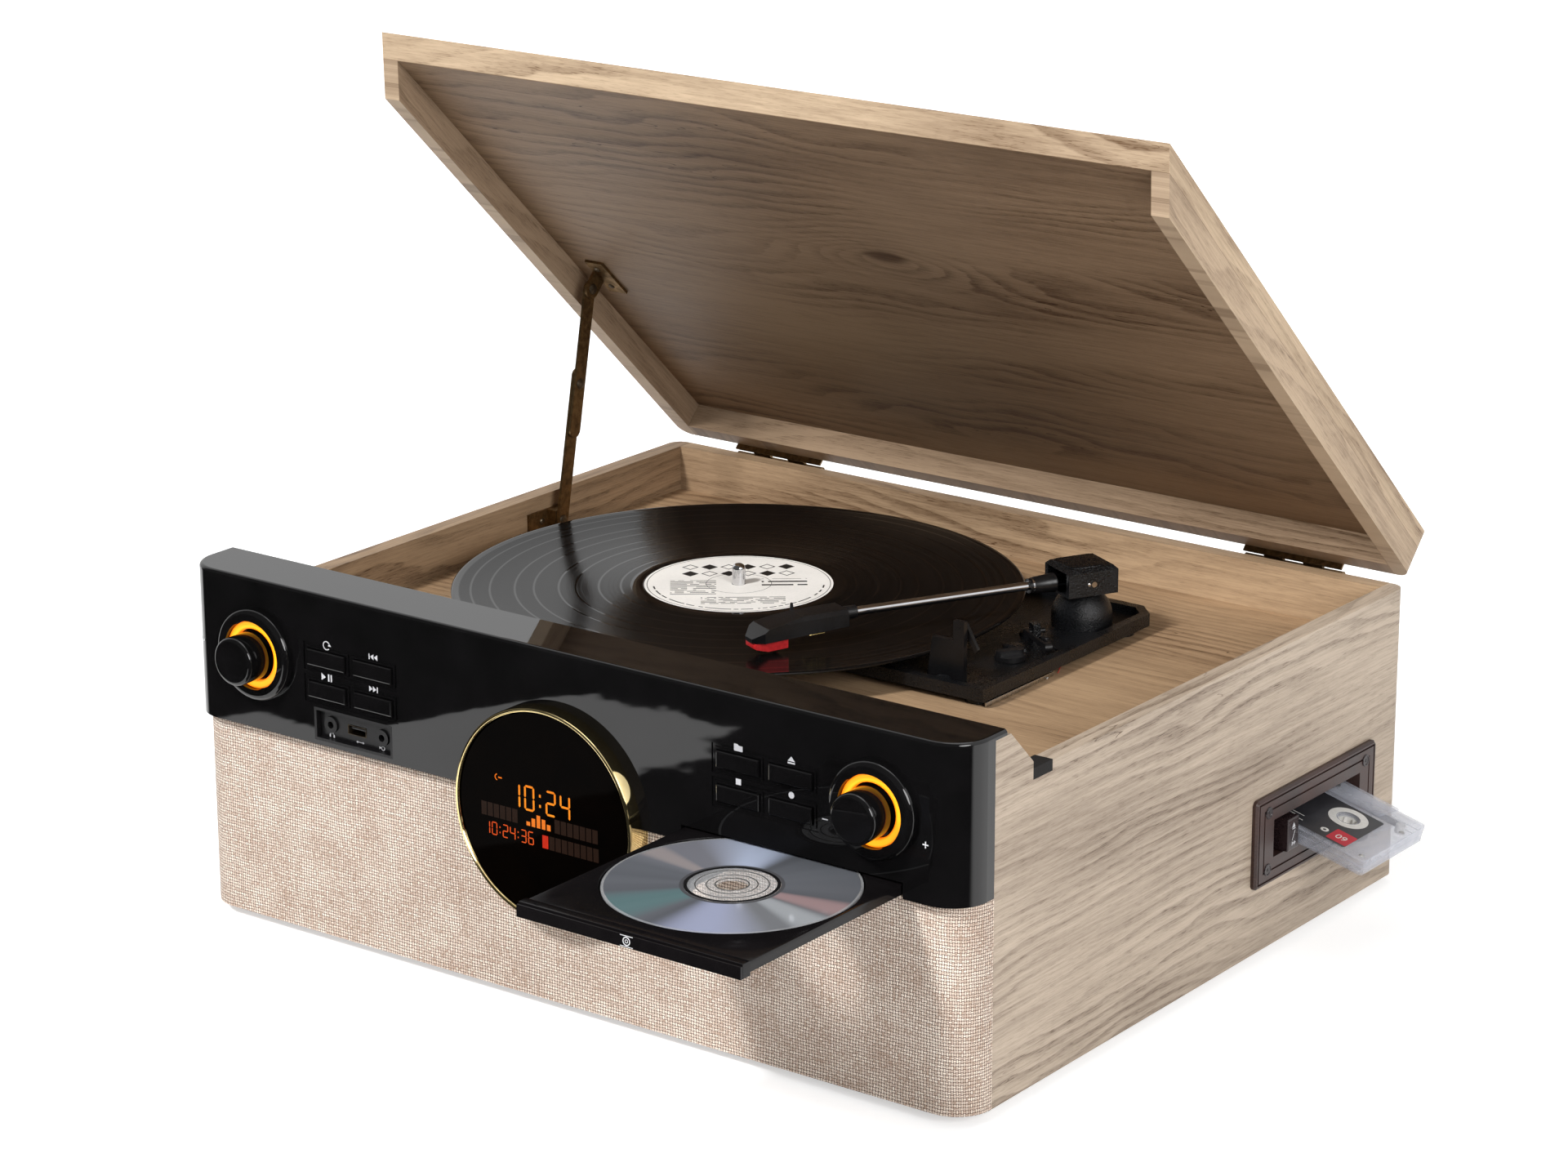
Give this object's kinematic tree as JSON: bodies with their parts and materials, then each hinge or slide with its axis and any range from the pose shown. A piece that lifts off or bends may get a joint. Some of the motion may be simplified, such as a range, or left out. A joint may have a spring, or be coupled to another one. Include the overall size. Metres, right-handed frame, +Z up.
{
  "type": "stereo music centre",
  "caption": "Wooden music centre with a record player under a hinged lid, a disc tray, a side cassette slot, a round display and a black control fascia.",
  "frame": {"origin": "on the standing surface under the middle of the cabinet", "axes": "+X to the right seen from the front, +Y to the rear, +Z up; the lid is open, the disc tray out, the cassette in its slot and the stylus on the record"},
  "size_m": [0.5247, 0.5483, 0.437],
  "materials": {
    "oak_foil": "satin, printed oak grain",
    "oak_foil_inside": "satin, printed oak grain",
    "fibreboard": "raw",
    "cloth": "woven",
    "black_gloss": "gloss",
    "black_matte": "fine texture",
    "record_vinyl": "grooved, gloss",
    "rubber_black": "matte",
    "antique_brass": "antique",
    "gold": "polished",
    "chrome": "polished",
    "steel": "plain",
    "light_guide": "translucent, lit",
    "dark_lens": "gloss, lit digits",
    "brown_plastic": "fine texture",
    "disc_silver": "polished",
    "clear_shell": "clear",
    "board_green": "satin",
    "aluminium": "cast"
  },
  "bodies": {
    "cabinet": {"side_panel_left": "oak_foil", "side_panel_right": "oak_foil", "rear_board": "oak_foil", "base_board": "oak_foil", "deck_board": "oak_foil", "front_baffle": "fibreboard", "grille_cloth": "cloth", "fascia": "black_gloss", "feet": "rubber_black", "hinge_leaves_cabinet": "antique_brass", "stay_wall_bracket": "antique_brass", "lid_bumpers": "rubber_black", "turntable_base": "black_matte", "spindle": "chrome", "turntable_motor": "steel", "drive_belt": "rubber_black", "arm_rest": "black_matte", "light_rings": "light_guide", "circuit_boards": "board_green", "display_ring": "gold", "display_window": "dark_lens", "jack_panel": "black_gloss", "cd_mechanism": "steel", "cassette_frame": "brown_plastic", "cassette_mechanism": "steel", "speakers": "black_matte", "rear_plate": "black_matte", "screws": "steel"},
    "lid": {"lid_top": "oak_foil", "lid_frame": "oak_foil", "hinge_leaves_lid": "antique_brass", "stay_lid_bracket": "antique_brass"},
    "stay_upper": {"stay_upper_arm": "antique_brass"},
    "stay_lower": {"stay_lower_arm": "antique_brass"},
    "turntable": {"platter": "aluminium", "platter_mat": "rubber_black", "record": "record_vinyl"},
    "pulley": {"motor_pulley": "antique_brass"},
    "arm_swing": {"tonearm_turret": "black_matte"},
    "arm_lift": {"tonearm_tube": "chrome", "headshell": "black_matte", "cartridge": "black_matte"},
    "cue": {"cue_lever": "black_matte"},
    "clip": {"arm_clip": "black_matte"},
    "speed": {"speed_lever": "black_matte"},
    "source_control": {"source_knob": "black_gloss"},
    "volume_control": {"volume_knob": "black_gloss"},
    "tray": {"cd_tray": "black_gloss"},
    "disc": {"compact_disc": "disc_silver"},
    "eject": {"eject_key": "brown_plastic"},
    "basket": {"cassette_basket": "black_matte"},
    "tape": {"cassette": "clear_shell"},
    "button_back_key": {"button_back": "black_gloss"},
    "button_repeat_key": {"button_repeat": "black_gloss"},
    "button_forward_key": {"button_forward": "black_gloss"},
    "button_play_key": {"button_play": "black_gloss"},
    "button_folder_key": {"button_folder": "black_gloss"},
    "button_open_key": {"button_open": "black_gloss"},
    "button_stop_key": {"button_stop": "black_gloss"},
    "button_record_key": {"button_record": "black_gloss"}
  },
  "joints": [
    {"name": "lid_hinge", "type": "hinge", "parent": "cabinet", "child": "lid", "pos_m": [0, 0.2058, 0.1597], "axis": [-1, 0, 0], "range_deg": [-43.5, 0]},
    {"name": "stay_upper_pivot", "type": "hinge", "parent": "lid", "child": "stay_upper", "pos_m": [-0.22007, 0.0971, 0.2762], "axis": [-1, 0, 0], "range_deg": [0, 107.5]},
    {"name": "stay_lower_pivot", "type": "hinge", "parent": "cabinet", "child": "stay_lower", "pos_m": [-0.22193, 0.0723, 0.14855], "axis": [-1, 0, 0], "range_deg": [-96.1, 0]},
    {"name": "platter_spin", "type": "hinge", "parent": "cabinet", "child": "turntable", "pos_m": [-0.0561, 0.0171, 0.1498], "axis": [0, 0, -1], "continuous": true},
    {"name": "pulley_spin", "type": "hinge", "parent": "cabinet", "child": "pulley", "pos_m": [0.0045, 0.062, 0.14505], "axis": [0, 0, -1], "continuous": true},
    {"name": "tonearm_swing", "type": "hinge", "parent": "cabinet", "child": "arm_swing", "pos_m": [0.107, 0.0967, 0.16305], "axis": [0, 0, 1], "range_deg": [-18, 26]},
    {"name": "tonearm_lift", "type": "hinge", "parent": "arm_swing", "child": "arm_lift", "pos_m": [0.107, 0.0967, 0.16905], "axis": [-0.8829, 0.4695, 0], "range_deg": [0, 5]},
    {"name": "cue_turn", "type": "hinge", "parent": "cabinet", "child": "cue", "pos_m": [0.1026, 0.0594, 0.14895], "axis": [-0.5446, -0.8387, 0], "range_deg": [0, 60]},
    {"name": "clip_turn", "type": "hinge", "parent": "cabinet", "child": "clip", "pos_m": [0.1096, -0.0158, 0.17315], "axis": [0, 1, 0], "range_deg": [-240, 0]},
    {"name": "speed_turn", "type": "hinge", "parent": "cabinet", "child": "speed", "pos_m": [0.1105, 0.0247, 0.14485], "axis": [0, 0, 1], "range_deg": [-25, 25]},
    {"name": "source_turn", "type": "hinge", "parent": "cabinet", "child": "source_control", "pos_m": [-0.1914, -0.2105, 0.15], "axis": [0, -1, 0], "continuous": true},
    {"name": "volume_turn", "type": "hinge", "parent": "cabinet", "child": "volume_control", "pos_m": [0.1914, -0.2105, 0.15], "axis": [0, -1, 0], "continuous": true},
    {"name": "button_back_press", "type": "slide", "parent": "cabinet", "child": "button_back_key", "axis": [0, 1, 0], "range_m": [0, 0.0012], "stiffness_N_per_m": 400},
    {"name": "button_repeat_press", "type": "slide", "parent": "cabinet", "child": "button_repeat_key", "axis": [0, 1, 0], "range_m": [0, 0.0012], "stiffness_N_per_m": 400},
    {"name": "button_forward_press", "type": "slide", "parent": "cabinet", "child": "button_forward_key", "axis": [0, 1, 0], "range_m": [0, 0.0012], "stiffness_N_per_m": 400},
    {"name": "button_play_press", "type": "slide", "parent": "cabinet", "child": "button_play_key", "axis": [0, 1, 0], "range_m": [0, 0.0012], "stiffness_N_per_m": 400},
    {"name": "button_folder_press", "type": "slide", "parent": "cabinet", "child": "button_folder_key", "axis": [0, 1, 0], "range_m": [0, 0.0012], "stiffness_N_per_m": 400},
    {"name": "button_open_press", "type": "slide", "parent": "cabinet", "child": "button_open_key", "axis": [0, 1, 0], "range_m": [0, 0.0012], "stiffness_N_per_m": 400},
    {"name": "button_stop_press", "type": "slide", "parent": "cabinet", "child": "button_stop_key", "axis": [0, 1, 0], "range_m": [0, 0.0012], "stiffness_N_per_m": 400},
    {"name": "button_record_press", "type": "slide", "parent": "cabinet", "child": "button_record_key", "axis": [0, 1, 0], "range_m": [0, 0.0012], "stiffness_N_per_m": 400},
    {"name": "tray_slide", "type": "slide", "parent": "cabinet", "child": "tray", "axis": [0, 1, 0], "range_m": [0, 0.1195]},
    {"name": "disc_spin", "type": "hinge", "parent": "tray", "child": "disc", "pos_m": [0.143, -0.2493, 0.1147], "axis": [0, 0, -1], "continuous": true},
    {"name": "eject_press", "type": "slide", "parent": "cabinet", "child": "eject", "axis": [-1, 0, 0], "range_m": [0, 0.0025], "stiffness_N_per_m": 400},
    {"name": "basket_tilt", "type": "hinge", "parent": "cabinet", "child": "basket", "pos_m": [0.22415, 0.1196, 0.06617], "axis": [0, -1, 0], "range_deg": [0, 14.7], "stiffness_Nm_per_rad": 0.05, "springref_deg": -22.92},
    {"name": "cassette_slide", "type": "slide", "parent": "basket", "child": "tape", "axis": [0.9673, 0, -0.2538], "range_m": [-0.044, 0]}
  ],
  "couplings": [
    {"joint": "stay_upper_pivot", "follows": "lid_hinge", "ratio": -2.4646},
    {"joint": "stay_lower_pivot", "follows": "lid_hinge", "ratio": 2.2046},
    {"joint": "pulley_spin", "follows": "platter_spin", "ratio": 11.092},
    {"joint": "cue_turn", "follows": "tonearm_lift", "ratio": 12}
  ]
}
